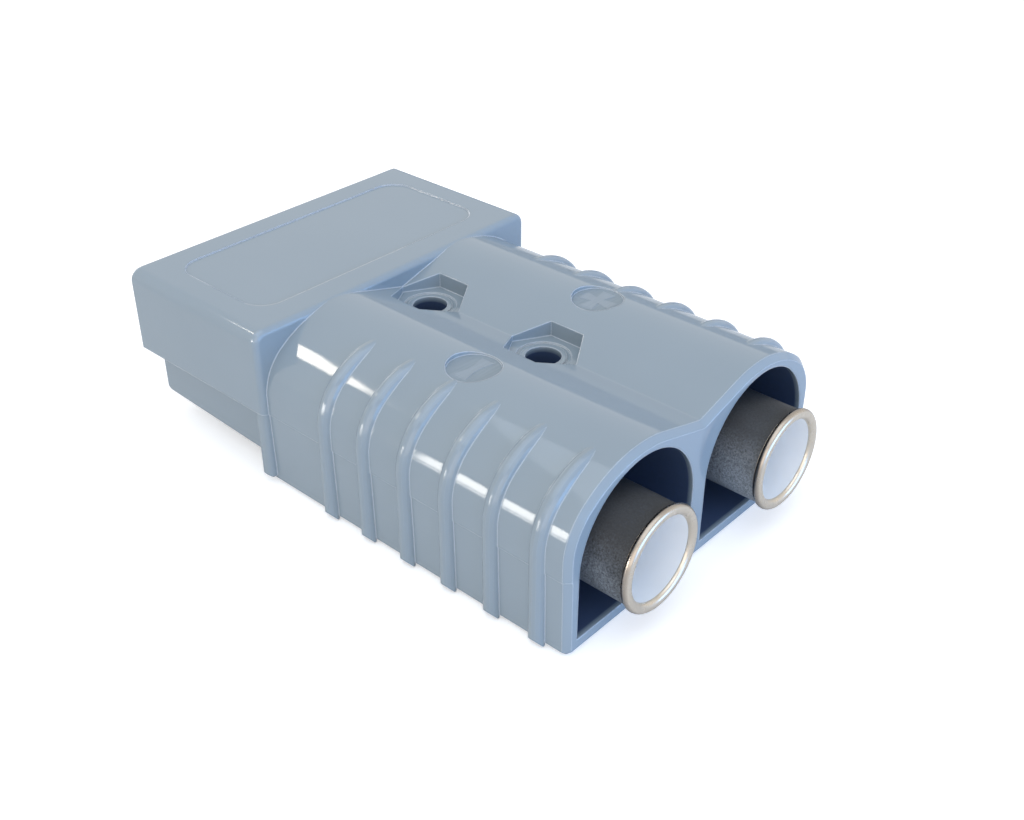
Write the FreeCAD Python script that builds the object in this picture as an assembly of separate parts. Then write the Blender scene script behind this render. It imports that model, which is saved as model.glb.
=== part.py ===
"""Two-pole genderless power connector, all lengths in millimetres.

The mating mouth faces -X and the cable end faces +X.  +Z is up and the flat base is at z = 0.
The origin is the middle of the connector's bounding box, at base level.
"""
import FreeCAD, Part
import os
from math import acos, atan2, cos, degrees, hypot, pi, radians, sin, sqrt

Vec = FreeCAD.Vector

# Overall sizes of the moulded housing
housing_length = 107.8
housing_height = 32.2
barrel_projection = 6.3

# Cable end: two arched tubes side by side, a little narrower than the hood
body_inset = 1.2
parting_step = 0.15
base_draft = 0.25
crown_inset = 17.75
crown_radius = 22.0
shoulder_radius = 11.0
valley_depth = 3.8
valley_radius = 1.2
rear_edge = 1.1

# Bores that the contacts sit in
bore_wall = 2.75
web_thickness = 3.6
bore_roof = 2.0
base_thickness = 2.9
bore_depth = 69.6

# Mating end: hood above, two prongs of the tongue below
hood_width = 70.5
hood_length = 37.4
hood_rise = 0.1
hood_wall = 2.6
hood_roof = 3.0
hood_edge_radius = 2.3
hood_end_radius = 1.2
mating_height = 15.4
mating_gap = 0.1
divider_thickness = 4.2
flange_inset = 0.25
flange_thickness = 3.2
flange_clearance = 1.2
flange_edge_radius = 1.1
flange_foot_bevel = 0.7
tongue_side_gap = 0.35
tongue_setback = 2.0
tongue_slot_gap = 0.4
tongue_root_underside = 3.5
tongue_tip_underside = 4.9
tongue_tip_chamfer = 1.3
tongue_edge_radius = 1.0

# Grip ribs on each side
rib_count = 6
rib_pitch = 9.74
rib_last_setback = 6.1
rib_radius = 1.6
rib_proud = 1.15
rib_facets = 6
rib_base_gap = 0.4
rib_foot_slope = 1.2
rib_fade_inset = 13.05
rib_fade_overrun = 6.0

# Mounting holes with nut pockets, in the valley between the poles
hole_radius = 3.25
hole_pitch = 28.3
hole_setback = 34.5
hole_boss_wall = 2.05
nut_across_flats = 12.9
nut_pocket_depth = 5.0
ring_outer_radius = 5.0
ring_inner_radius = 4.2
ring_depth = 0.3

# Polarity discs and the bare panel on the hood
disc_radius = 4.85
disc_setback = 35.7
disc_inset = 17.55
disc_depth = 0.8
panel_margin_front = 5.1
panel_margin_rear = 6.5
panel_margin_side = 6.6
panel_corner_radius = 5.0
panel_depth = 0.25

# Contacts: silver-plated copper, a wire barrel drawn down to a flat blade
contact_inset = 15.85
barrel_axis_height = 14.3
barrel_radius = 8.9
barrel_bore_radius = 7.6
barrel_bore_depth = 30.0
barrel_length = 36.0
lip_radius = 9.5
lip_length = 0.9
lip_edge = 0.35
bore_mouth_edge = 0.5
neck_length = 12.0
blade_width = 19.0
blade_thickness = 3.6
blade_lift = 0.5
blade_taper = 3.0
blade_taper_inset = 1.0
hook_bend_radius = 6.0
hook_angle = 70.0
hook_ridge_thickness = 2.5
hook_clearance = 0.4

# Seats of the contacts in the housing
channel_side_gap = 0.6
channel_floor = 7.8
sill_radius = 1.6
sill_clearance = 0.1
window_headroom = 0.4

# Leaf springs under the blades
spring_width = 12.0
spring_thickness = 1.2
spring_foot = 3.0
spring_blade_gap = 0.1
spring_end_gap = 1.0

# Places worked out from the sizes above
overall_length = housing_length + barrel_projection
front_x = -overall_length / 2
rear_x = front_x + housing_length
bore_end_x = rear_x - bore_depth
barrel_end_x = overall_length / 2
hood_rear_x = front_x + hood_length
flange_front_x = hood_rear_x - flange_thickness
hood_top = housing_height
crown_top = housing_height - hood_rise
hood_half = hood_width / 2
body_half = hood_half - body_inset
flange_half = hood_half - flange_inset
crown_offset = body_half - crown_inset
valley_height = housing_height - valley_depth
bore_half_width = (body_half - bore_wall - web_thickness / 2) / 2
bore_offset = web_thickness / 2 + bore_half_width
bore_top = housing_height - bore_roof
nut_pocket_floor = housing_height - nut_pocket_depth
disc_offset = body_half - disc_inset
contact_offset = body_half - contact_inset
hood_edge_height = mating_height + mating_gap
tongue_top = mating_height - mating_gap
tongue_half = hood_half - hood_wall - tongue_side_gap
tongue_tip_x = front_x + tongue_setback
tongue_slot_half = divider_thickness / 2 + tongue_slot_gap
blade_top = mating_height + blade_lift
blade_bottom = blade_top - blade_thickness
sill_x = (flange_front_x + bore_end_x) / 2
neck_end_x = barrel_end_x - barrel_length - neck_length
sill_height = blade_bottom - sill_clearance - sill_radius
channel_half = blade_width / 2 + channel_side_gap
channel_front_x = tongue_tip_x + hook_ridge_thickness
blade_end_x = channel_front_x + hook_clearance
spring_half_span = (flange_front_x - channel_front_x) / 2 - spring_end_gap - spring_foot


def box(x0, x1, y0, y1, z0, z1):
    """Box between two corners."""
    return Part.makeBox(x1 - x0, y1 - y0, z1 - z0, Vec(x0, y0, z0))


def cylinder_z(x, y, z0, z1, radius):
    """Upright cylinder between two heights."""
    return Part.makeCylinder(radius, z1 - z0, Vec(x, y, z0), Vec(0, 0, 1))


def line(start, end):
    """Straight edge between two points."""
    return Part.LineSegment(start, end).toShape()


def arc_yz(x, cy, cz, radius, start, end):
    """Arc in a plane across the connector, from its centre and two angles in radians."""
    points = []
    for angle in (start, (start + end) / 2, end):
        points.append(Vec(x, cy + radius * cos(angle), cz + radius * sin(angle)))
    return Part.Arc(*points).toShape()


def extruded(edges, direction):
    """Solid made by pushing a closed outline along a direction."""
    face = Part.Face(Part.Wire(Part.__sortEdges__(edges)))
    return face.extrude(direction)


def polygon_edges(points):
    """Closed ring of straight edges."""
    ring = points + points[:1]
    return [line(ring[i], ring[i + 1]) for i in range(len(points))]


def mirrored(shape):
    """Copy on the other side of the connector's middle plane."""
    return shape.mirror(Vec(0, 0, 0), Vec(0, 1, 0))


def both_sides(shape):
    """The shape and its mirror image."""
    return [shape, mirrored(shape)]


def rounded(shape, radius, chosen):
    """Fillet the edges that the given test picks."""
    return shape.makeFillet(radius, [e for e in shape.Edges if chosen(e)])


def bevelled(shape, size, chosen):
    """Chamfer the edges that the given test picks."""
    return shape.makeChamfer(size, [e for e in shape.Edges if chosen(e)])


def along_x(edge):
    """True for a straight edge that runs along the connector."""
    first, last = edge.Vertexes[0].Point, edge.Vertexes[-1].Point
    return abs(first.y - last.y) < 1e-6 and abs(first.z - last.z) < 1e-6


# Cross-section of the cable end

crown_height = crown_top - crown_radius
shoulder_offset = body_half - shoulder_radius
shoulder_angle = atan2(
    sqrt((crown_radius - shoulder_radius) ** 2 - (shoulder_offset - crown_offset) ** 2),
    shoulder_offset - crown_offset)
shoulder_height = crown_height + (crown_radius - shoulder_radius) * sin(shoulder_angle)
valley_centre = valley_height + valley_radius
slope_angle = (atan2(valley_centre - crown_height, -crown_offset)
               - acos((crown_radius + valley_radius) / hypot(crown_offset, valley_centre - crown_height)))
rib_fade_offset = body_half - rib_fade_inset


def arch_edges(x, side):
    """Wall, shoulder and crown of one pole, and its slope down into the valley."""
    def turned(angle):
        return angle if side > 0 else pi - angle

    wall = line(Vec(x, side * body_half, mating_height), Vec(x, side * body_half, shoulder_height))
    shoulder = arc_yz(x, side * shoulder_offset, shoulder_height, shoulder_radius,
                      turned(0), turned(shoulder_angle))
    crown = arc_yz(x, side * crown_offset, crown_height, crown_radius,
                   turned(shoulder_angle), turned(slope_angle))
    slope = line(Vec(x, side * (crown_offset + crown_radius * cos(slope_angle)),
                     crown_height + crown_radius * sin(slope_angle)),
                 Vec(x, -side * valley_radius * cos(slope_angle),
                     valley_centre - valley_radius * sin(slope_angle)))
    return [wall, shoulder, crown, slope]


def rear_rim(edge):
    """True for an edge round the rear face, apart from the parting line."""
    ends = [v.Point for v in edge.Vertexes]
    at_parting = all(abs(p.z - mating_height) < 1e-6 for p in ends)
    return all(abs(p.x - rear_x) < 1e-6 for p in ends) and not at_parting


def body_upper():
    """Arched half of the cable end, above the parting line."""
    start = flange_front_x
    valley = arc_yz(start, 0, valley_centre, valley_radius, slope_angle - pi, -slope_angle)
    floor = line(Vec(start, -body_half, mating_height), Vec(start, body_half, mating_height))
    edges = arch_edges(start, 1) + [valley] + arch_edges(start, -1) + [floor]
    return bevelled(extruded(edges, Vec(rear_x - start, 0, 0)), rear_edge, rear_rim)


def body_lower():
    """Flat-bottomed half of the cable end, set in a little at the parting line and drafted."""
    start = flange_front_x
    top_half = body_half - parting_step
    low_half = top_half - base_draft
    corners = [Vec(start, top_half, mating_height), Vec(start, low_half, 0),
               Vec(start, -low_half, 0), Vec(start, -top_half, mating_height)]
    solid = extruded(polygon_edges(corners), Vec(rear_x - start, 0, 0))

    def chosen(edge):
        low_side = along_x(edge) and edge.Vertexes[0].Point.z < 1e-6
        return rear_rim(edge) or low_side
    return bevelled(solid, rear_edge, chosen)


def rib_section(x):
    """Rounded cross-section of a rib at the top of the wall, in flats, let into the wall at its root."""
    spine_y = body_half + rib_proud - rib_radius
    root = acos((rib_radius - rib_proud) / rib_radius)
    points = [Vec(x + rib_radius * sin(-root + 2 * root * i / rib_facets),
                  spine_y + rib_radius * cos(-root + 2 * root * i / rib_facets), shoulder_height)
              for i in range(rib_facets + 1)]
    points += [Vec(points[-1].x, spine_y, shoulder_height), Vec(points[0].x, spine_y, shoulder_height)]
    return Part.Face(Part.Wire(polygon_edges(points)))


def rib(x):
    """Grip rib of the +Y side, which climbs the wall and the shoulder and fades out on the crown."""
    crest = shoulder_radius + rib_proud
    fade_height = crown_height + sqrt(crown_radius ** 2 - (rib_fade_offset - crown_offset) ** 2)
    dy = rib_fade_offset - shoulder_offset
    dz = fade_height - shoulder_height
    uy, uz = cos(shoulder_angle), sin(shoulder_angle)
    reach = (crest ** 2 - dy ** 2 - dz ** 2) / (2 * (crest - dy * uy - dz * uz))
    pivot = Vec(x, shoulder_offset, shoulder_height)
    fade_pivot = pivot + Vec(0, uy, uz) * reach
    fade_angle = atan2(fade_height - fade_pivot.z, rib_fade_offset - fade_pivot.y)
    axis = Vec(1, 0, 0)

    section = rib_section(x)
    wall = section.extrude(Vec(0, 0, rib_base_gap - shoulder_height))
    shoulder = section.revolve(pivot, axis, degrees(shoulder_angle))
    section.rotate(pivot, axis, degrees(shoulder_angle))
    crown = section.revolve(fade_pivot, axis, degrees(fade_angle - shoulder_angle) + rib_fade_overrun)
    return wall.cut(rib_foot_cut(x)).fuse([shoulder, crown])


def rib_foot_cut(x):
    """Wedge that slopes the foot of a rib back to the wall."""
    crest_y = body_half + rib_proud
    rise = rib_foot_slope * (rib_proud + rib_foot_slope)
    corners = [Vec(x - 2 * rib_radius, crest_y + rib_foot_slope, rib_base_gap + rise),
               Vec(x - 2 * rib_radius, body_half, rib_base_gap),
               Vec(x - 2 * rib_radius, body_half, -rib_radius),
               Vec(x - 2 * rib_radius, crest_y + rib_foot_slope, -rib_radius)]
    return extruded(polygon_edges(corners), Vec(4 * rib_radius, 0, 0))


# Mating end

def hood_block():
    """Solid block of the hood before its cavity is cut."""
    block = box(front_x, hood_rear_x, -hood_half, hood_half, hood_edge_height, hood_top)

    def top_side(edge):
        return along_x(edge) and edge.Vertexes[0].Point.z > hood_top - 1e-6

    def rear_end(edge):
        ends = [v.Point for v in edge.Vertexes]
        return all(abs(p.x - hood_rear_x) < 1e-6 and p.z > hood_edge_height + 1e-6 for p in ends) or (
            all(abs(p.x - hood_rear_x) < 1e-6 for p in ends) and abs(ends[0].y - ends[1].y) < 1e-6)
    block = rounded(block, hood_edge_radius, top_side)
    return rounded(block, hood_end_radius, rear_end)


def flange():
    """Collar at the root of the hood, which stops the mating half and runs down to the base."""
    slab = box(flange_front_x, hood_rear_x, -flange_half, flange_half, flange_clearance,
               hood_edge_height + hood_wall)

    def upright(edge):
        return abs(edge.Vertexes[0].Point.z - edge.Vertexes[-1].Point.z) > 1e-6

    def foot(edge):
        return all(v.Point.z < flange_clearance + 1e-6 for v in edge.Vertexes)
    return bevelled(rounded(slab, flange_edge_radius, upright), flange_foot_bevel, foot)


def prong():
    """One prong of the tongue, thinner towards its tip, on the +Y side."""
    profile = [Vec(hood_rear_x, tongue_slot_half, tongue_top),
               Vec(tongue_tip_x, tongue_slot_half, tongue_top),
               Vec(tongue_tip_x, tongue_slot_half, tongue_tip_underside + tongue_tip_chamfer),
               Vec(tongue_tip_x + tongue_tip_chamfer, tongue_slot_half, tongue_tip_underside),
               Vec(hood_rear_x, tongue_slot_half, tongue_root_underside)]
    solid = extruded(polygon_edges(profile), Vec(0, tongue_half - tongue_slot_half, 0))

    def outer_low(edge):
        ends = [v.Point for v in edge.Vertexes]
        return all(p.y > tongue_half - 1e-6 and p.z < tongue_top - 1e-6 for p in ends) and (
            abs(ends[0].x - ends[1].x) > tongue_tip_chamfer * 2)
    return rounded(solid, tongue_edge_radius, outer_low)


def hood_cavity():
    """Space of the mating mouth, on both sides of the divider."""
    space = box(front_x - 1, flange_front_x, -hood_half + hood_wall, hood_half - hood_wall,
                tongue_top, hood_top - hood_roof)

    def roof_side(edge):
        return along_x(edge) and edge.Vertexes[0].Point.z > hood_top - hood_roof - 1e-6
    space = rounded(space, hood_edge_radius - mating_gap, roof_side)
    divider = box(front_x, flange_front_x, -divider_thickness / 2, divider_thickness / 2,
                  tongue_top, hood_top)
    return space.cut(divider)


# Cuts in the housing

def pole_bore():
    """D-shaped bore of one pole, from the rear face to the partition."""
    start = bore_end_x
    centre_z = bore_top - bore_half_width
    left = bore_offset - bore_half_width
    right = bore_offset + bore_half_width
    edges = [line(Vec(start, left, base_thickness), Vec(start, right, base_thickness)),
             line(Vec(start, right, base_thickness), Vec(start, right, centre_z)),
             arc_yz(start, bore_offset, centre_z, bore_half_width, 0, pi),
             line(Vec(start, left, centre_z), Vec(start, left, base_thickness))]
    return extruded(edges, Vec(bore_depth + 1, 0, 0))


def contact_seat():
    """Window from the mouth to the contact's neck, over a rounded sill, and the channel in the prong."""
    window = box(flange_front_x - 1, neck_end_x, contact_offset - channel_half,
                 contact_offset + channel_half, sill_height, blade_top + window_headroom)
    sill = Part.makeCylinder(sill_radius, 2 * channel_half,
                             Vec(sill_x, contact_offset - channel_half, sill_height), Vec(0, 1, 0))
    channel = box(channel_front_x, flange_front_x, contact_offset - channel_half,
                  contact_offset + channel_half, channel_floor, blade_top + window_headroom)
    return [window.cut(sill), channel]


def hole_places():
    """Distances along X of the two mounting holes."""
    return [rear_x - hole_setback - i * hole_pitch for i in range(2)]


def hexagon(x, across_flats, z0, z1):
    """Hexagonal prism with two corners along X."""
    corner = across_flats / sqrt(3)
    points = [Vec(x + corner * cos(i * pi / 3), corner * sin(i * pi / 3), z0) for i in range(6)]
    return extruded(polygon_edges(points), Vec(0, 0, z1 - z0))


def nut_pocket(x):
    """Screw hole, hexagonal nut pocket and the ring groove round the hole."""
    hole = cylinder_z(x, 0, -1, housing_height, hole_radius)
    pocket = hexagon(x, nut_across_flats, nut_pocket_floor, housing_height)
    groove = cylinder_z(x, 0, nut_pocket_floor - ring_depth, nut_pocket_floor, ring_outer_radius)
    core = cylinder_z(x, 0, nut_pocket_floor - ring_depth, nut_pocket_floor, ring_inner_radius)
    return [hole, pocket, groove.cut(core)]


def panel_recess():
    """Shallow rounded field on the hood's top."""
    field = box(front_x + panel_margin_front, hood_rear_x - panel_margin_rear,
                -hood_half + panel_margin_side, hood_half - panel_margin_side,
                hood_top - panel_depth, hood_top + 1)

    def upright(edge):
        return abs(edge.Vertexes[0].Point.z - edge.Vertexes[-1].Point.z) > 1e-6
    return rounded(field, panel_corner_radius, upright)


def housing():
    """The one-piece moulded housing."""
    ribs = []
    for i in range(rib_count):
        ribs += both_sides(rib(rear_x - rib_last_setback - i * rib_pitch))
    solid = body_upper().fuse([body_lower(), hood_block(), flange()] + both_sides(prong()) + ribs)
    bosses = [cylinder_z(x, 0, 0, housing_height, hole_radius + hole_boss_wall) for x in hole_places()]
    cuts = [hood_cavity(), panel_recess()]
    cuts += both_sides(pole_bore().cut(bosses))
    for piece in contact_seat():
        cuts += both_sides(piece)
    for x in hole_places():
        cuts += nut_pocket(x)
    cuts += both_sides(cylinder_z(rear_x - disc_setback, disc_offset, crown_top - disc_depth,
                                  housing_height + 1, disc_radius))
    return solid.cut(cuts).removeSplitter()


# Contacts and springs

def barrel():
    """Wire barrel with its lip and a mouth that is eased for the wire."""
    axis = Vec(1, 0, 0)
    start = barrel_end_x - barrel_length

    def turned(x, radius, length):
        return Part.makeCylinder(radius, length, Vec(x, contact_offset, barrel_axis_height), axis)
    lip = turned(barrel_end_x - lip_length, lip_radius, lip_length)
    lip = bevelled(lip, lip_edge, lambda edge: len(edge.Vertexes) == 1)
    body = turned(start, barrel_radius, barrel_length).fuse(lip)
    hole = turned(barrel_end_x - barrel_bore_depth, barrel_bore_radius, barrel_bore_depth)
    mouth = Part.makeCone(barrel_bore_radius, barrel_bore_radius + bore_mouth_edge, bore_mouth_edge,
                          Vec(barrel_end_x - bore_mouth_edge, contact_offset, barrel_axis_height), axis)
    return body.cut([hole, mouth])


def neck():
    """Round bar pressed flat from the barrel to the blade's thickness."""
    start = barrel_end_x - barrel_length
    bar = Part.makeCylinder(barrel_radius, neck_length, Vec(neck_end_x, contact_offset, barrel_axis_height),
                            Vec(1, 0, 0))
    side = contact_offset - 2 * barrel_radius
    corners = [Vec(neck_end_x, side, blade_bottom), Vec(start, side, barrel_axis_height - barrel_radius),
               Vec(start, side, barrel_axis_height + barrel_radius), Vec(neck_end_x, side, blade_top)]
    return bar.common(extruded(polygon_edges(corners), Vec(0, 4 * barrel_radius, 0)))


def contact():
    """Contact of the +Y pole: barrel, neck, blade and hooked tip in one piece."""
    low, high = contact_offset - blade_width / 2, contact_offset + blade_width / 2
    bend_x = blade_end_x + hook_bend_radius * sin(radians(hook_angle))
    outline = [Vec(bend_x, low, blade_bottom), Vec(bend_x, high, blade_bottom),
               Vec(neck_end_x, high, blade_bottom),
               Vec(neck_end_x + blade_taper, contact_offset + barrel_radius - blade_taper_inset, blade_bottom),
               Vec(neck_end_x + blade_taper, contact_offset - barrel_radius + blade_taper_inset, blade_bottom),
               Vec(neck_end_x, low, blade_bottom)]
    blade = extruded(polygon_edges(outline), Vec(0, 0, blade_thickness))
    bend_face = Part.Face(Part.Wire(polygon_edges([
        Vec(bend_x, low, blade_bottom), Vec(bend_x, high, blade_bottom),
        Vec(bend_x, high, blade_top), Vec(bend_x, low, blade_top)])))
    pivot = Vec(bend_x, 0, blade_top - hook_bend_radius)
    hook = bend_face.revolve(pivot, Vec(0, -1, 0), hook_angle)
    return barrel().fuse([neck(), blade, hook]).removeSplitter()


def leaf_spring():
    """Bowed leaf of the +Y pole, with a flat foot at each end, on the channel floor."""
    rise = blade_bottom - spring_blade_gap - channel_floor - spring_thickness
    bend_angle = 2 * (atan2(rise, spring_half_span))
    bend_radius = spring_half_span / (2 * sin(bend_angle))
    middle = (flange_front_x + channel_front_x) / 2
    base = channel_floor + spring_thickness / 2

    def arc_xz(cx, cz, start, end):
        points = []
        for angle in (start, (start + end) / 2, end):
            points.append(Vec(cx + bend_radius * cos(angle), contact_offset, cz + bend_radius * sin(angle)))
        return Part.Arc(*points).toShape()
    root = middle + spring_half_span
    tip = middle - spring_half_span
    crest = base + rise - bend_radius
    edges = [line(Vec(root + spring_foot, contact_offset, base), Vec(root, contact_offset, base)),
             arc_xz(root, base + bend_radius, -pi / 2, -pi / 2 - bend_angle),
             arc_xz(middle, crest, pi / 2 - bend_angle, pi / 2),
             arc_xz(middle, crest, pi / 2, pi / 2 + bend_angle),
             arc_xz(tip, base + bend_radius, -pi / 2 + bend_angle, -pi / 2),
             line(Vec(tip, contact_offset, base), Vec(tip - spring_foot, contact_offset, base))]
    x = root + spring_foot
    y0, y1 = contact_offset - spring_width / 2, contact_offset + spring_width / 2
    z0, z1 = channel_floor, channel_floor + spring_thickness
    section = Part.Wire(polygon_edges([Vec(x, y0, z0), Vec(x, y1, z0), Vec(x, y1, z1), Vec(x, y0, z1)]))
    return Part.Wire(edges).makePipeShell([section], True, False)


def save(name, shape):
    """Write one node and print what it is."""
    solid = shape.Solids[0] if len(shape.Solids) == 1 else shape
    solid.exportStep("parts/" + name + ".step")
    bounds = solid.BoundBox
    print(name, "solids", len(shape.Solids), "valid", solid.isValid(), "volume %.1f" % solid.Volume,
          "x %.2f %.2f y %.2f %.2f z %.2f %.2f" % (bounds.XMin, bounds.XMax, bounds.YMin, bounds.YMax,
                                                   bounds.ZMin, bounds.ZMax))


os.makedirs("parts", exist_ok=True)
save("housing", housing())
save("contact_positive", contact())
save("contact_negative", mirrored(contact()))
save("spring_positive", leaf_spring())
save("spring_negative", mirrored(leaf_spring()))
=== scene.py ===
"""A two-pole genderless power connector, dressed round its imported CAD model, in metres."""
import math

import bpy
from mathutils import Euler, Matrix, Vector


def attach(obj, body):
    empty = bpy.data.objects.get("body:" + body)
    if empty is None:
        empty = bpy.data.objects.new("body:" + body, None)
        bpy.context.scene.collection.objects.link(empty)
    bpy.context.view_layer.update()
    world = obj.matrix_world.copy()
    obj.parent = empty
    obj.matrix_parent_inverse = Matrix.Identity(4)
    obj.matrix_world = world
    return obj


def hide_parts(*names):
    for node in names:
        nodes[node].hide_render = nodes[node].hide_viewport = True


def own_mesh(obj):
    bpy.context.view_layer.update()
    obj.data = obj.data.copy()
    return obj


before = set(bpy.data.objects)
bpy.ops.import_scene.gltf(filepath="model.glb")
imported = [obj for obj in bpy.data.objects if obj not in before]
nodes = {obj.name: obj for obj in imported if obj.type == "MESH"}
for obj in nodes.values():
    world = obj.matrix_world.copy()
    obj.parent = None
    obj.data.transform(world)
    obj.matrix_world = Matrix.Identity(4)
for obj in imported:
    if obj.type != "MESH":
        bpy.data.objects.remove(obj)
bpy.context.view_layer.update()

# Housing
# One injection-moulded shell of polycarbonate, coloured slate grey-blue right through.
# The polished mould leaves it glossy, with soft edges and a faint waviness; a pale painted highlight lies
# along its edges.
# The core pins leave the cable bores and screw holes dull, and hardly any light comes back out of them, so
# their walls carry painted shade.

MM = 0.001
MOULDED_GREY = "#94A2AC"
MOULDED_GREY_DEEP = "#8D9CA7"
# Painted shade: a dark navy laid on the walls inside the cable bores and screw holes.
BORE_PAINTED_SHADE = "#34486A"
# Painted highlight: a pale colour laid along the rounded edges of the housing.
EDGE_PAINTED_HIGHLIGHT = "#E0EAF4"
POLYCARBONATE_IOR = 1.585
FLOW_PATCH_MM = 26.0
MOULD_WAVE_MM = 9.0
MOULD_WAVE_RISE_MM = 0.02
EDGE_ROUND_MM = 0.55
EDGE_HIGHLIGHT_MM = 0.35
EDGE_HIGHLIGHT_SHARE = 0.95
EDGE_START = 0.97
EDGE_FULL = 0.8
EDGE_SAMPLES = 6
POLISHED_ROUGHNESS = 0.07
DULL_ROUGHNESS = 0.6

BORE_OFFSET_MM = 16.55
BORE_MIDDLE_MM = 15.45
BORE_RADIUS_MM = 14.79
BORE_FLOOR_MM = 2.8
BORE_END_MM = -19.0
BORE_MOUTH_MM = 50.3
BORE_MARGIN_MM = 0.02
MOUTH_FADE_MM = 0.7
HOLE_MIDDLE_MM = 2.1
HOLE_SPREAD_MM = 14.15
HOLE_RADIUS_MM = 3.3
HOLE_TOP_MM = 26.7
DISC_PLACE_X_MM = 15.05
DISC_OFFSET_MM = 16.5
DISC_RADIUS_MM = 4.85
DISC_FLOOR_MM = 31.3
DISC_MARGIN_MM = 0.06
BRUSHED_GREY = "#96A4B0"
BRUSHED_GREY_MIDDLE = "#8795A0"
BRUSHED_GREY_DEEP = "#7F8D98"
BRUSH_MM = 0.3
BRUSH_STRETCH = 0.08


def linear(hex_code):
    """An sRGB hex colour as linear RGBA."""
    shades = [int(hex_code[i:i + 2], 16) / 255 for i in (1, 3, 5)]
    return [s / 12.92 if s <= 0.04045 else ((s + 0.055) / 1.055) ** 2.4 for s in shades] + [1.0]


def add(tree, kind, inputs=None, **settings):
    """Adds a node, sets its properties, and fills its inputs with values or with other nodes' outputs."""
    made = tree.nodes.new(kind)
    for name, value in settings.items():
        setattr(made, name, value)
    for name, value in (inputs or {}).items():
        if isinstance(value, bpy.types.NodeSocket):
            tree.links.new(value, made.inputs[name])
        else:
            made.inputs[name].default_value = value
    return made


def finish_material(name):
    """A new material, with its node tree and its surface shader."""
    made = bpy.data.materials.new(name)
    made.use_nodes = True
    tree = made.node_tree
    return made, tree, tree.nodes["Principled BSDF"]


def dress(obj, *materials):
    """Gives the piece these materials, the first one unless its faces say otherwise."""
    obj.data.materials.clear()
    for material in materials:
        obj.data.materials.append(material)


def brushed_streaks(tree, place, deep, pale):
    """The colour of a floor from a brushed part of the mould, streaked along Y between two hex colours."""
    drawn_out = add(tree, "ShaderNodeMapping", {"Vector": place, "Scale": (1.0, BRUSH_STRETCH, 1.0)})
    brushing = add(tree, "ShaderNodeTexNoise", {"Vector": drawn_out.outputs[0], "Scale": 1 / (BRUSH_MM * MM),
                                                "Detail": 2.0})
    streaks = add(tree, "ShaderNodeMix", {"Factor": brushing.outputs["Fac"], "A": linear(deep),
                                          "B": linear(pale)}, data_type="RGBA")
    return streaks.outputs["Result"]


polycarbonate, tree, surface = finish_material("moulded_polycarbonate")
place = add(tree, "ShaderNodeTexCoord").outputs["Object"]
along = add(tree, "ShaderNodeSeparateXYZ", {"Vector": place}).outputs

folded = add(tree, "ShaderNodeVectorMath", {0: place}, operation="ABSOLUTE").outputs[0]
from_bore = add(tree, "ShaderNodeVectorMath",
                {0: folded, 1: (0, 1, 1), 2: (0, -BORE_OFFSET_MM * MM, -BORE_MIDDLE_MM * MM)},
                operation="MULTIPLY_ADD").outputs[0]
above_middle = add(tree, "ShaderNodeVectorMath", {0: from_bore, 1: (0, -1, 0)},
                   operation="MAXIMUM").outputs[0]
bore_distance = add(tree, "ShaderNodeVectorMath", {0: above_middle}, operation="LENGTH").outputs["Value"]
within = add(tree, "ShaderNodeMapRange",
             {"Value": bore_distance, "From Min": (BORE_RADIUS_MM - BORE_MARGIN_MM) * MM,
              "From Max": (BORE_RADIUS_MM + BORE_MARGIN_MM) * MM, "To Min": 1.0, "To Max": 0.0})
behind_mouth = add(tree, "ShaderNodeMapRange",
                   {"Value": along["X"], "From Min": (BORE_MOUTH_MM - MOUTH_FADE_MM) * MM,
                    "From Max": BORE_MOUTH_MM * MM, "To Min": 1.0, "To Max": 0.0},
                   interpolation_type="SMOOTHSTEP")
before_end = add(tree, "ShaderNodeMath", {0: along["X"], 1: BORE_END_MM * MM}, operation="GREATER_THAN")
above_floor = add(tree, "ShaderNodeMath", {0: along["Z"], 1: BORE_FLOOR_MM * MM}, operation="GREATER_THAN")
in_tube = add(tree, "ShaderNodeMath", {0: within.outputs[0], 1: behind_mouth.outputs[0]},
              operation="MULTIPLY")
in_room = add(tree, "ShaderNodeMath", {0: before_end.outputs[0], 1: above_floor.outputs[0]},
              operation="MULTIPLY")
in_bore = add(tree, "ShaderNodeMath", {0: in_tube.outputs[0], 1: in_room.outputs[0]}, operation="MULTIPLY")

from_disc = add(tree, "ShaderNodeVectorMath",
                {0: folded, 1: (1, 1, 0), 2: (-DISC_PLACE_X_MM * MM, -DISC_OFFSET_MM * MM, 0)},
                operation="MULTIPLY_ADD").outputs[0]
disc_distance = add(tree, "ShaderNodeVectorMath", {0: from_disc}, operation="LENGTH").outputs["Value"]
in_ring = add(tree, "ShaderNodeMath", {0: disc_distance, 1: DISC_RADIUS_MM * MM}, operation="LESS_THAN")
on_floor = add(tree, "ShaderNodeMath", {0: along["Z"], 1: DISC_FLOOR_MM * MM, 2: DISC_MARGIN_MM * MM},
               operation="COMPARE")
in_disc = add(tree, "ShaderNodeMath", {0: in_ring.outputs[0], 1: on_floor.outputs[0]}, operation="MULTIPLY")

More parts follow.
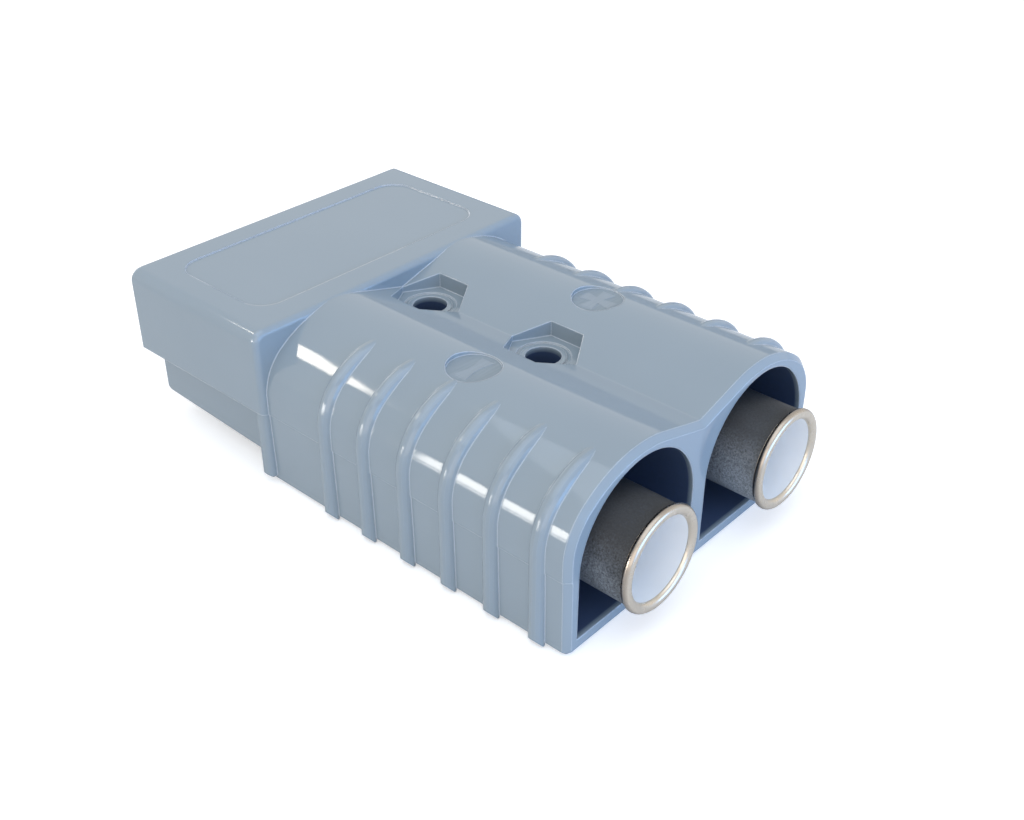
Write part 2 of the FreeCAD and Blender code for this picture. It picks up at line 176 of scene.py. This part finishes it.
centred = add(tree, "ShaderNodeVectorMath", {0: place, 1: (-HOLE_MIDDLE_MM * MM, 0, 0)},
              operation="ADD").outputs[0]
folded = add(tree, "ShaderNodeVectorMath", {0: centred}, operation="ABSOLUTE").outputs[0]
from_hole = add(tree, "ShaderNodeVectorMath", {0: folded, 1: (1, 1, 0), 2: (-HOLE_SPREAD_MM * MM, 0, 0)},
                operation="MULTIPLY_ADD").outputs[0]
hole_distance = add(tree, "ShaderNodeVectorMath", {0: from_hole}, operation="LENGTH").outputs["Value"]
in_round = add(tree, "ShaderNodeMath", {0: hole_distance, 1: HOLE_RADIUS_MM * MM}, operation="LESS_THAN")
below_top = add(tree, "ShaderNodeMapRange",
                {"Value": along["Z"], "From Min": (HOLE_TOP_MM - MOUTH_FADE_MM) * MM,
                 "From Max": HOLE_TOP_MM * MM, "To Min": 1.0, "To Max": 0.0})
in_hole = add(tree, "ShaderNodeMath", {0: in_round.outputs[0], 1: below_top.outputs[0]},
              operation="MULTIPLY")
shadowed = add(tree, "ShaderNodeMath", {0: in_bore.outputs[0], 1: in_hole.outputs[0]},
               operation="MAXIMUM").outputs[0]

flow = add(tree, "ShaderNodeTexNoise", {"Vector": place, "Scale": 1 / (FLOW_PATCH_MM * MM), "Detail": 2.0})
grey = add(tree, "ShaderNodeMix", {"Factor": flow.outputs["Fac"], "A": linear(MOULDED_GREY),
                                   "B": linear(MOULDED_GREY_DEEP)}, data_type="RGBA")
streaks = brushed_streaks(tree, place, BRUSHED_GREY_DEEP, MOULDED_GREY)
floored = add(tree, "ShaderNodeMix", {"Factor": in_disc.outputs[0], "A": grey.outputs["Result"],
                                      "B": streaks}, data_type="RGBA")
# Painted shade: inside the cable bores and screw holes the colour is mixed towards the dark navy.
shaded = add(tree, "ShaderNodeMix", {"Factor": shadowed, "A": floored.outputs["Result"],
                                     "B": linear(BORE_PAINTED_SHADE)}, data_type="RGBA")
# Painted highlight: where the rounded normal turns away from the face's own, the colour is mixed towards
# pale.
turned_edge = add(tree, "ShaderNodeBevel", {"Radius": EDGE_HIGHLIGHT_MM * MM}, samples=EDGE_SAMPLES)
straight = add(tree, "ShaderNodeNewGeometry").outputs["Normal"]
likeness = add(tree, "ShaderNodeVectorMath", {0: turned_edge.outputs[0], 1: straight},
               operation="DOT_PRODUCT").outputs["Value"]
edge_highlight = add(tree, "ShaderNodeMapRange", {"Value": likeness, "From Min": EDGE_START, "From Max": EDGE_FULL,
                                        "To Min": 0.0, "To Max": EDGE_HIGHLIGHT_SHARE})
highlighted_edges = add(tree, "ShaderNodeMix", {"Factor": edge_highlight.outputs[0], "A": shaded.outputs["Result"],
                                    "B": linear(EDGE_PAINTED_HIGHLIGHT)}, data_type="RGBA")
tree.links.new(highlighted_edges.outputs["Result"], surface.inputs["Base Color"])
dull = add(tree, "ShaderNodeMath", {0: shadowed, 1: in_disc.outputs[0]}, operation="MAXIMUM").outputs[0]
dullness = add(tree, "ShaderNodeMapRange", {"Value": dull, "To Min": POLISHED_ROUGHNESS,
                                            "To Max": DULL_ROUGHNESS})
tree.links.new(dullness.outputs[0], surface.inputs["Roughness"])
wave = add(tree, "ShaderNodeTexNoise", {"Vector": place, "Scale": 1 / (MOULD_WAVE_MM * MM), "Detail": 1.0})
soft_edge = add(tree, "ShaderNodeBevel", {"Radius": EDGE_ROUND_MM * MM}, samples=EDGE_SAMPLES)
rippled = add(tree, "ShaderNodeBump", {"Height": wave.outputs["Fac"], "Distance": MOULD_WAVE_RISE_MM * MM,
                                       "Normal": soft_edge.outputs[0]})
tree.links.new(rippled.outputs[0], surface.inputs["Normal"])
surface.inputs["IOR"].default_value = POLYCARBONATE_IOR
dress(nodes["housing"], polycarbonate)

# Polarity signs
# A plus and a minus stand a hair proud of the floors of the two round recesses on the crowns.
# They are of the housing's own plastic, and the mould was left brushed there, so they are a little duller.

SIGN_REACH_MM = 3.6
SIGN_ROOT_MM = 0.85
SIGN_FLARE_MM = 1.45
SIGN_RISE_MM = 0.08
SIGN_DRAFT = 0.9
SIGN_ROUGHNESS = 0.3

brushed, tree, surface = finish_material("brushed_polycarbonate")
place = add(tree, "ShaderNodeTexCoord").outputs["Object"]
streaks = brushed_streaks(tree, place, BRUSHED_GREY_MIDDLE, BRUSHED_GREY)
tree.links.new(streaks, surface.inputs["Base Color"])
surface.inputs["Roughness"].default_value = SIGN_ROUGHNESS
surface.inputs["IOR"].default_value = POLYCARBONATE_IOR


def shaped(name, points, faces):
    """An object of this name in the scene, from points in metres and faces."""
    mesh = bpy.data.meshes.new(name)
    mesh.from_pydata(points, [], faces)
    made = bpy.data.objects.new(name, mesh)
    bpy.context.scene.collection.objects.link(made)
    return made


def sign(name, side, arms):
    """A sign of flared arms, one at each of these angles in degrees, on the recess of one pole."""
    outline = []
    for angle in arms:
        turn = math.radians(angle)
        reach = Vector((math.cos(turn), math.sin(turn), 0))
        across = Vector((-math.sin(turn), math.cos(turn), 0))
        outline.append(reach * SIGN_ROOT_MM - across * SIGN_ROOT_MM)
        outline.append(reach * SIGN_REACH_MM - across * SIGN_FLARE_MM)
        outline.append(reach * SIGN_REACH_MM + across * SIGN_FLARE_MM)
        if len(arms) < 4:
            outline.append(reach * SIGN_ROOT_MM + across * SIGN_ROOT_MM)
    centre = Vector((DISC_PLACE_X_MM, side * DISC_OFFSET_MM, DISC_FLOOR_MM))
    foot = [(centre + point) * MM for point in outline]
    top = [(centre + point * SIGN_DRAFT + Vector((0, 0, SIGN_RISE_MM))) * MM for point in outline]
    count = len(outline)
    faces = [tuple(reversed(range(count))), tuple(range(count, 2 * count))]
    faces += [(i, (i + 1) % count, count + (i + 1) % count, count + i) for i in range(count)]
    made = shaped(name, foot + top, faces)
    dress(made, brushed)
    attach(made, "housing_body")


sign("plus_sign", 1, (0, 90, 180, 270))
sign("minus_sign", -1, (90, 270))

# Contacts
# Each is one piece of copper, silver plated: a round wire barrel with a rolled lip, drawn down to a flat
# blade whose tip is hooked over. The plating is milky and smooth inside the barrel and bright on the lip.
# Outside, the barrel is painted near black, a painted reflection of the dark bore it sits in; towards its low
# sides fine paler, metallic specks of painted sheen are laid over that.

CONTACT_OFFSET_MM = 18.2
BARREL_MIDDLE_MM = 14.3
BARREL_RADIUS_MM = 8.9
BARREL_BORE_MM = 7.6
BARREL_FRONT_MM = 21.05
BARREL_END_MM = 57.05
BARREL_DEPTH_MM = 30.0
LIP_RADIUS_MM = 9.5
LIP_BEAD_MM = 0.8
LIP_INNER_ROUND_MM = 0.9
NECK_FRONT_MM = 9.05
BLADE_HALF_WIDTH_MM = 9.5
BLADE_HALF_MM = 1.8
BLADE_MIDDLE_MM = 14.1
BLADE_EDGE_MM = 0.5
HOOK_BEND_X_MM = -46.51
HOOK_PIVOT_MM = 9.9
HOOK_TURN_DEGREES = 70.0
HOOK_STEPS = 14
NECK_STEPS = 16
ROUND_STEPS = 8
RING_POINTS = 96
BOTTOM_ROUND_MM = 1.5
INSIDE_STEP_MM = 9.0
BEAD_START_DEGREES = 168

SILVER = "#DDD3C4"
SILVER_DULL = "#CAC0B1"
SILVER_BLOOM_MM = 1.6
SILVER_ROUGHNESS = (0.24, 0.34)
# The lip's outer rim is darker, a brown-grey.
LIP_RIM_DARK = "#8F857C"
LIP_RIM_DARK_WIDTH_MM = 0.45
LIP_RIM_DARK_SHARE = 0.8
MILKY_SILVER = "#FBFCFC"
MILKY_SILVER_DULL = "#F1F4F6"
MILKY_CLOUD_MM = 5.0
MILKY_METALLIC = 0.1
MILKY_ROUGHNESS = 0.35
# Painted reflection: the barrel's outside is near black, and its paler specks are painted sheen.
BARREL_PAINTED_DARK = "#15191E"
PAINTED_SHEEN_SPECK = "#B0BAC4"
GRAIN_MM = 0.32
GRAIN_PIT_MM = 0.05
SHEEN_PATCH_MM = 16.0
SPECK_RANGE = (0.17, 0.44)
SHEEN_TOP_MM = 21.0
SHEEN_LOW_MM = 9.0
SHEEN_TOP_SHARE = 0.06
BARREL_OUTSIDE_ROUGHNESS = 0.5


def ring(x, z, half_width, half_height, corner, tilt=0.0):
    """A rounded rectangle across a bar at (x, z), leaned by a tilt in radians, as points in millimetres."""
    points = []
    per_corner = RING_POINTS // 4
    for quarter, (side, up) in enumerate(((1, 1), (-1, 1), (-1, -1), (1, -1))):
        for i in range(per_corner):
            angle = (quarter + (i + 0.5) / per_corner) * math.pi / 2
            across = side * (half_width - corner) + corner * math.cos(angle)
            rise = up * (half_height - corner) + corner * math.sin(angle)
            points.append(Vector((x - rise * math.sin(tilt), across, z + rise * math.cos(tilt))))
    return points


def circle(x, radius):
    """A ring of the wire barrel."""
    return ring(x, BARREL_MIDDLE_MM, radius, radius, radius)


def arc(x, radius, bend, start, end):
    """Rings of the barrel's surface along a small arc of its section, between two angles in degrees."""
    angles = [math.radians(start + (end - start) * i / ROUND_STEPS) for i in range(ROUND_STEPS + 1)]
    return [circle(x + bend * math.cos(a), radius + bend * math.sin(a)) for a in angles]


def lofted(name, rings, offset):
    """A closed smooth mesh through rings of equal count, with a flat cap on each end."""
    count = len(rings[0])
    points = [(p + Vector((0, offset, 0))) * MM for one in rings for p in one]
    faces = [tuple(reversed(range(count)))]
    for r in range(len(rings) - 1):
        for i in range(count):
            j = (i + 1) % count
            faces.append((r * count + i, r * count + j, (r + 1) * count + j, (r + 1) * count + i))
    faces.append(tuple(range((len(rings) - 1) * count, len(rings) * count)))
    made = shaped(name, points, faces)
    for face in made.data.polygons:
        face.use_smooth = len(face.vertices) == 4
    return made


def blend_in(share):
    """A share from 0 to 1 with soft ends."""
    return share * share * (3 - 2 * share)


hook = []
for i in range(HOOK_STEPS, 0, -1):
    turn = math.radians(HOOK_TURN_DEGREES) * i / HOOK_STEPS
    middle = BLADE_MIDDLE_MM - HOOK_PIVOT_MM
    hook.append(ring(HOOK_BEND_X_MM - middle * math.sin(turn), HOOK_PIVOT_MM + middle * math.cos(turn),
                     BLADE_HALF_WIDTH_MM, BLADE_HALF_MM, BLADE_EDGE_MM, turn))
blade = [ring(x, BLADE_MIDDLE_MM, BLADE_HALF_WIDTH_MM, BLADE_HALF_MM, BLADE_EDGE_MM)
         for x in (HOOK_BEND_X_MM, NECK_FRONT_MM)]
neck = []
for i in range(1, NECK_STEPS + 1):
    share = blend_in(i / NECK_STEPS)
    x = NECK_FRONT_MM + (BARREL_FRONT_MM - NECK_FRONT_MM) * i / NECK_STEPS
    half_height = BLADE_HALF_MM + (BARREL_RADIUS_MM - BLADE_HALF_MM) * share
    half_width = BLADE_HALF_WIDTH_MM + (BARREL_RADIUS_MM - BLADE_HALF_WIDTH_MM) * share
    corner = min(half_height, half_width) * (BLADE_EDGE_MM / BLADE_HALF_MM * (1 - share) + share)
    z = BLADE_MIDDLE_MM + (BARREL_MIDDLE_MM - BLADE_MIDDLE_MM) * share
    neck.append(ring(x, z, half_width, half_height, corner))
bead_x = BARREL_END_MM - LIP_BEAD_MM
bead_radius = LIP_RADIUS_MM - LIP_BEAD_MM
mouth_x = BARREL_END_MM - LIP_INNER_ROUND_MM
mouth_radius = BARREL_BORE_MM + LIP_INNER_ROUND_MM
bottom_x = BARREL_END_MM - BARREL_DEPTH_MM
outside = [circle(bead_x - LIP_BEAD_MM, BARREL_RADIUS_MM)]
lip = arc(bead_x, bead_radius, LIP_BEAD_MM, BEAD_START_DEGREES, 0)
lip += arc(mouth_x, mouth_radius, LIP_INNER_ROUND_MM, 0, -90)
inside = [circle(x, BARREL_BORE_MM) for x in (bottom_x + INSIDE_STEP_MM, bottom_x + BOTTOM_ROUND_MM)]
inside += arc(bottom_x + BOTTOM_ROUND_MM, BARREL_BORE_MM - BOTTOM_ROUND_MM, BOTTOM_ROUND_MM, 90, 180)
rings = hook + blade + neck + outside + lip + inside
first_neck = len(hook + blade)
first_lip = len(hook + blade + neck)
first_inside = len(hook + blade + neck + outside + lip)

silver, tree, surface = finish_material("silver_plate")
place = add(tree, "ShaderNodeTexCoord").outputs["Object"]
bloom = add(tree, "ShaderNodeTexNoise", {"Vector": place, "Scale": 1 / (SILVER_BLOOM_MM * MM), "Detail": 5.0})
plate = add(tree, "ShaderNodeMix", {"Factor": bloom.outputs["Fac"], "A": linear(SILVER),
                                    "B": linear(SILVER_DULL)}, data_type="RGBA")
from_axis = add(tree, "ShaderNodeVectorMath", {0: place}, operation="ABSOLUTE").outputs[0]
off_axis = add(tree, "ShaderNodeVectorMath",
               {0: from_axis, 1: (0, 1, 1), 2: (0, -CONTACT_OFFSET_MM * MM, -BARREL_MIDDLE_MM * MM)},
               operation="MULTIPLY_ADD").outputs[0]
radius = add(tree, "ShaderNodeVectorMath", {0: off_axis}, operation="LENGTH").outputs["Value"]
# The lip's outer rim is mixed towards a darker brown-grey.
rim = add(tree, "ShaderNodeMapRange",
          {"Value": radius, "From Min": (LIP_RADIUS_MM - LIP_RIM_DARK_WIDTH_MM) * MM,
           "From Max": LIP_RADIUS_MM * MM, "To Min": 0.0, "To Max": LIP_RIM_DARK_SHARE})
rim_darkened = add(tree, "ShaderNodeMix", {"Factor": rim.outputs[0], "A": plate.outputs["Result"],
                                        "B": linear(LIP_RIM_DARK)}, data_type="RGBA")
tree.links.new(rim_darkened.outputs["Result"], surface.inputs["Base Color"])
polish = add(tree, "ShaderNodeMapRange", {"Value": bloom.outputs["Fac"], "From Min": 0.3, "From Max": 0.7,
                                          "To Min": SILVER_ROUGHNESS[0], "To Max": SILVER_ROUGHNESS[1]})
tree.links.new(polish.outputs[0], surface.inputs["Roughness"])
surface.inputs["Metallic"].default_value = 1.0

milky, tree, surface = finish_material("milky_silver_plate")
place = add(tree, "ShaderNodeTexCoord").outputs["Object"]
cloud = add(tree, "ShaderNodeTexNoise", {"Vector": place, "Scale": 1 / (MILKY_CLOUD_MM * MM), "Detail": 3.0})
plate = add(tree, "ShaderNodeMix", {"Factor": cloud.outputs["Fac"], "A": linear(MILKY_SILVER),
                                    "B": linear(MILKY_SILVER_DULL)}, data_type="RGBA")
tree.links.new(plate.outputs["Result"], surface.inputs["Base Color"])
surface.inputs["Metallic"].default_value = MILKY_METALLIC
surface.inputs["Roughness"].default_value = MILKY_ROUGHNESS

painted_dark_barrel, tree, surface = finish_material("silver_plate_painted_dark")
place = add(tree, "ShaderNodeTexCoord").outputs["Object"]
grain = add(tree, "ShaderNodeTexNoise", {"Vector": place, "Scale": 1 / (GRAIN_MM * MM), "Detail": 5.0,
                                         "Roughness": 0.65})
sheen_patches = add(tree, "ShaderNodeTexNoise", {"Vector": place, "Scale": 1 / (SHEEN_PATCH_MM * MM), "Detail": 3.0})
# Painted sheen: paler metallic specks in patches, more of them towards the barrel's low sides.
speck = add(tree, "ShaderNodeMath", {0: grain.outputs["Fac"], 1: sheen_patches.outputs["Fac"]}, operation="MULTIPLY")
sheen_specks = add(tree, "ShaderNodeMapRange", {"Value": speck.outputs[0], "From Min": SPECK_RANGE[0],
                                        "From Max": SPECK_RANGE[1]})
height = add(tree, "ShaderNodeSeparateXYZ", {"Vector": place}).outputs["Z"]
sheen_towards_bottom = add(tree, "ShaderNodeMapRange", {"Value": height, "From Min": SHEEN_TOP_MM * MM,
                                          "From Max": SHEEN_LOW_MM * MM, "To Min": SHEEN_TOP_SHARE,
                                          "To Max": 1.0})
share = add(tree, "ShaderNodeMath", {0: sheen_specks.outputs[0], 1: sheen_towards_bottom.outputs[0]}, operation="MULTIPLY")
tone = add(tree, "ShaderNodeMix", {"Factor": share.outputs[0], "A": linear(BARREL_PAINTED_DARK),
                                   "B": linear(PAINTED_SHEEN_SPECK)}, data_type="RGBA")
tree.links.new(tone.outputs["Result"], surface.inputs["Base Color"])
tree.links.new(share.outputs[0], surface.inputs["Metallic"])
surface.inputs["Roughness"].default_value = BARREL_OUTSIDE_ROUGHNESS
pitted = add(tree, "ShaderNodeBump", {"Height": grain.outputs["Fac"], "Distance": GRAIN_PIT_MM * MM})
tree.links.new(pitted.outputs[0], surface.inputs["Normal"])

for pole, side in (("positive", 1), ("negative", -1)):
    made = lofted(f"{pole}_contact", rings, side * CONTACT_OFFSET_MM)
    dress(made, silver, painted_dark_barrel, milky)
    for face in made.data.polygons:
        row = (face.index - 1) // RING_POINTS
        if first_neck <= row < first_lip:
            face.material_index = 1
        if row >= first_inside - 1:
            face.material_index = 2
    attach(made, f"{pole}_pole")
    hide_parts(f"contact_{pole}")

# Leaf springs
# A bowed leaf of rolled stainless strip lies under each blade, on the floor of its channel, and lets the
# contact float. Its edges are rounded by tumbling.

SPRING_MIDDLE_X_MM = -37.7
SPRING_HALF_SPAN_MM = 10.85
SPRING_FOOT_MM = 3.0
SPRING_RISE_MM = 3.2
SPRING_HALF_WIDTH_MM = 6.0
SPRING_HALF_MM = 0.6
SPRING_EDGE_MM = 0.3
SPRING_SEAT_MM = 7.8
BOW_STEPS = 10
STAINLESS = "#BDBFC1"
STAINLESS_DULL = "#A6A9AC"
ROLLING_MM = 0.25
ROLLING_STRETCH = 0.05
STAINLESS_ROUGHNESS = (0.2, 0.4)

bow_turn = 2 * math.atan2(SPRING_RISE_MM, SPRING_HALF_SPAN_MM)
bow_radius = SPRING_HALF_SPAN_MM / (2 * math.sin(bow_turn))
seat = SPRING_SEAT_MM + SPRING_HALF_MM


def strip(x, z, tilt):
    """A ring of the spring's strip."""
    return ring(x, z, SPRING_HALF_WIDTH_MM, SPRING_HALF_MM, SPRING_EDGE_MM, tilt)


bowed = [strip(SPRING_MIDDLE_X_MM - SPRING_HALF_SPAN_MM - SPRING_FOOT_MM, seat, 0.0)]
for i in range(BOW_STEPS + 1):
    turn = bow_turn * i / BOW_STEPS
    bowed.append(strip(SPRING_MIDDLE_X_MM - SPRING_HALF_SPAN_MM + bow_radius * math.sin(turn),
                      seat + bow_radius * (1 - math.cos(turn)), turn))
for i in range(BOW_STEPS - 1, -BOW_STEPS, -1):
    turn = bow_turn * i / BOW_STEPS
    bowed.append(strip(SPRING_MIDDLE_X_MM - bow_radius * math.sin(turn),
                      seat + SPRING_RISE_MM - bow_radius * (1 - math.cos(turn)), turn))
for i in range(BOW_STEPS, -1, -1):
    turn = bow_turn * i / BOW_STEPS
    bowed.append(strip(SPRING_MIDDLE_X_MM + SPRING_HALF_SPAN_MM - bow_radius * math.sin(turn),
                      seat + bow_radius * (1 - math.cos(turn)), -turn))
bowed.append(strip(SPRING_MIDDLE_X_MM + SPRING_HALF_SPAN_MM + SPRING_FOOT_MM, seat, 0.0))

stainless, tree, surface = finish_material("rolled_stainless")
place = add(tree, "ShaderNodeTexCoord").outputs["Object"]
drawn_out = add(tree, "ShaderNodeMapping", {"Vector": place, "Scale": (ROLLING_STRETCH, 1.0, 1.0)})
rolling = add(tree, "ShaderNodeTexNoise", {"Vector": drawn_out.outputs[0], "Scale": 1 / (ROLLING_MM * MM),
                                           "Detail": 3.0})
sheen = add(tree, "ShaderNodeMapRange", {"Value": rolling.outputs["Fac"], "To Min": STAINLESS_ROUGHNESS[0],
                                         "To Max": STAINLESS_ROUGHNESS[1]})
steel = add(tree, "ShaderNodeMix", {"Factor": rolling.outputs["Fac"], "A": linear(STAINLESS),
                                    "B": linear(STAINLESS_DULL)}, data_type="RGBA")
tree.links.new(steel.outputs["Result"], surface.inputs["Base Color"])
tree.links.new(sheen.outputs[0], surface.inputs["Roughness"])
surface.inputs["Metallic"].default_value = 1.0

for pole, side in (("positive", 1), ("negative", -1)):
    made = lofted(f"{pole}_leaf", bowed, side * CONTACT_OFFSET_MM)
    dress(made, stainless)
    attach(made, "housing_body")
    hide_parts(f"spring_{pole}")
    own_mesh(made)

# Studio
# A pale table, a soft light overhead, a fill beside the camera, a cool light behind the cable end and one
# before the mouth. Windows draw the stripes on the shoulders, and a grey card calms the gloss in the valley.

VIEW_AZIMUTH = 41.905
VIEW_ELEVATION = 32.906
VIEW_ROLL = 0.202
VIEW_DISTANCE_MM = 230.79
VIEW_TARGET = Vector((12.07, -3.594, 15.666)) * MM
LENS_PIXELS = 1269.54
PHOTO_WIDTH = 1024
SENSOR_MM = 36.0
ROOM = "#F6F6F6"
ROOM_STRENGTH = 0.62
PAPER = "#F4F4F4"
PAPER_ROUGHNESS = 0.9
PAPER_GLOW = 0.45
FELT = "#AEB2B6"
CARD_AZIMUTH = -145
CARD_ELEVATION = 5
CARD_DISTANCE = 0.6
CARD_REACH = 0.2
CARD_BELOW = 0.1
CARD_ABOVE = 0.08


def direction(azimuth, elevation):
    """Unit vector from the object towards an azimuth (0 is -Y, 90 is +X) and elevation in degrees."""
    a, e = math.radians(azimuth), math.radians(elevation)
    return Vector((math.sin(a) * math.cos(e), -math.cos(a) * math.cos(e), math.sin(e)))


def softbox(name, azimuth, elevation, distance, size, radiance, colour, aim=VIEW_TARGET, mirrored=False):
    """A rectangular lamp that faces a point, seen in the gloss alone if it is mirrored."""
    lamp = bpy.data.lights.new(name, "AREA")
    lamp.shape = "RECTANGLE"
    lamp.size, lamp.size_y = size
    lamp.color = linear(colour)[:3]
    lamp.energy = radiance * math.pi * size[0] * size[1]
    holder = bpy.data.objects.new(name, lamp)
    towards = direction(azimuth, elevation)
    holder.location = aim + towards * distance
    holder.rotation_mode = "QUATERNION"
    holder.rotation_quaternion = towards.to_track_quat("Z", "Y")
    holder.visible_camera = False
    holder.visible_diffuse = not mirrored
    bpy.context.scene.collection.objects.link(holder)


FRONT_SHOULDER = Vector((-8.0, -29.0, 28.0)) * MM
REAR_SHOULDER = Vector((33.0, -33.0, 23.5)) * MM
softbox("overhead", 20, 80, 0.9, (1.2, 1.0), 1.12, "#E4EEFB")
softbox("fill", 25, 20, 0.9, (0.9, 0.6), 1.1, "#FFF6F0")
softbox("cool_side", 98, 5, 0.8, (0.9, 0.5), 4.1, "#79B8FF")
softbox("mouth_side", -95, 6, 0.8, (0.5, 0.4), 1.8, "#FFFFFF")
softbox("far_window", -67.2, 41.4, 0.9, (0.126, 0.09), 13, "#FFF6E8", FRONT_SHOULDER, True)
softbox("far_pane", -59.8, 40.5, 0.9, (0.03, 0.08), 13, "#FFF6E8", FRONT_SHOULDER, True)
softbox("left_window", -29.2, 6.2, 0.5, (0.163, 0.095), 11, "#FFFBF4", REAR_SHOULDER, True)
softbox("left_sill", -29.2, -1.6, 0.5, (0.163, 0.018), 9, "#FFFBF4", REAR_SHOULDER, True)

scene = bpy.context.scene
world = bpy.data.worlds.new("white_room")
world.use_nodes = True
scene.world = world
tree = world.node_tree
tree.nodes.clear()
rays = add(tree, "ShaderNodeLightPath").outputs
mirrored = add(tree, "ShaderNodeMath", {0: rays["Is Glossy Ray"], 1: rays["Is Transmission Ray"]},
               operation="MAXIMUM")
seen = add(tree, "ShaderNodeMath", {0: rays["Is Camera Ray"], 1: mirrored.outputs[0]}, operation="MAXIMUM")
room = add(tree, "ShaderNodeBackground", {"Color": linear(ROOM), "Strength": ROOM_STRENGTH})
backdrop = add(tree, "ShaderNodeBackground", {"Color": [1, 1, 1, 1], "Strength": 1.0})
mix = add(tree, "ShaderNodeMixShader", {0: seen.outputs[0], 1: room.outputs[0], 2: backdrop.outputs[0]})
add(tree, "ShaderNodeOutputWorld", {"Surface": mix.outputs[0]})

FLOOR_HALF = 3.0
floor = shaped("table_top", [(-FLOOR_HALF, -FLOOR_HALF, 0), (FLOOR_HALF, -FLOOR_HALF, 0),
                             (FLOOR_HALF, FLOOR_HALF, 0), (-FLOOR_HALF, FLOOR_HALF, 0)], [(0, 1, 2, 3)])
paper, tree, surface = finish_material("white_paper")
surface.inputs["Base Color"].default_value = linear(PAPER)
surface.inputs["Roughness"].default_value = PAPER_ROUGHNESS
rays = add(tree, "ShaderNodeLightPath").outputs
glow = add(tree, "ShaderNodeMath", {0: rays["Is Camera Ray"], 1: PAPER_GLOW}, operation="MULTIPLY")
tree.links.new(glow.outputs[0], surface.inputs["Emission Strength"])
surface.inputs["Emission Color"].default_value = [1, 1, 1, 1]
dress(floor, paper)

across = direction(CARD_AZIMUTH, 0).cross(Vector((0, 0, 1))) * CARD_REACH
centre = VIEW_TARGET + direction(CARD_AZIMUTH, CARD_ELEVATION) * CARD_DISTANCE
foot, head = centre - Vector((0, 0, CARD_BELOW)), centre + Vector((0, 0, CARD_ABOVE))
card = shaped("dark_card", [foot - across, foot + across, head + across, head - across], [(0, 1, 2, 3)])
card.visible_camera = False
card.visible_diffuse = False
card.visible_shadow = False
felt, tree, surface = finish_material("dark_felt")
surface.inputs["Base Color"].default_value = linear(FELT)
surface.inputs["Roughness"].default_value = 1.0
dress(card, felt)

camera = bpy.data.cameras.new("camera")
camera.sensor_width = SENSOR_MM
camera.lens = LENS_PIXELS / PHOTO_WIDTH * camera.sensor_width
camera.clip_start, camera.clip_end = 0.01, 20.0
eye = bpy.data.objects.new("camera", camera)
back = direction(VIEW_AZIMUTH, VIEW_ELEVATION)
eye.location = VIEW_TARGET + back * VIEW_DISTANCE_MM * MM
eye.rotation_mode = "QUATERNION"
roll = Euler((0, 0, math.radians(VIEW_ROLL))).to_quaternion()
eye.rotation_quaternion = back.to_track_quat("Z", "Y") @ roll
scene.collection.objects.link(eye)
scene.camera = eye
scene.view_settings.view_transform = "Standard"
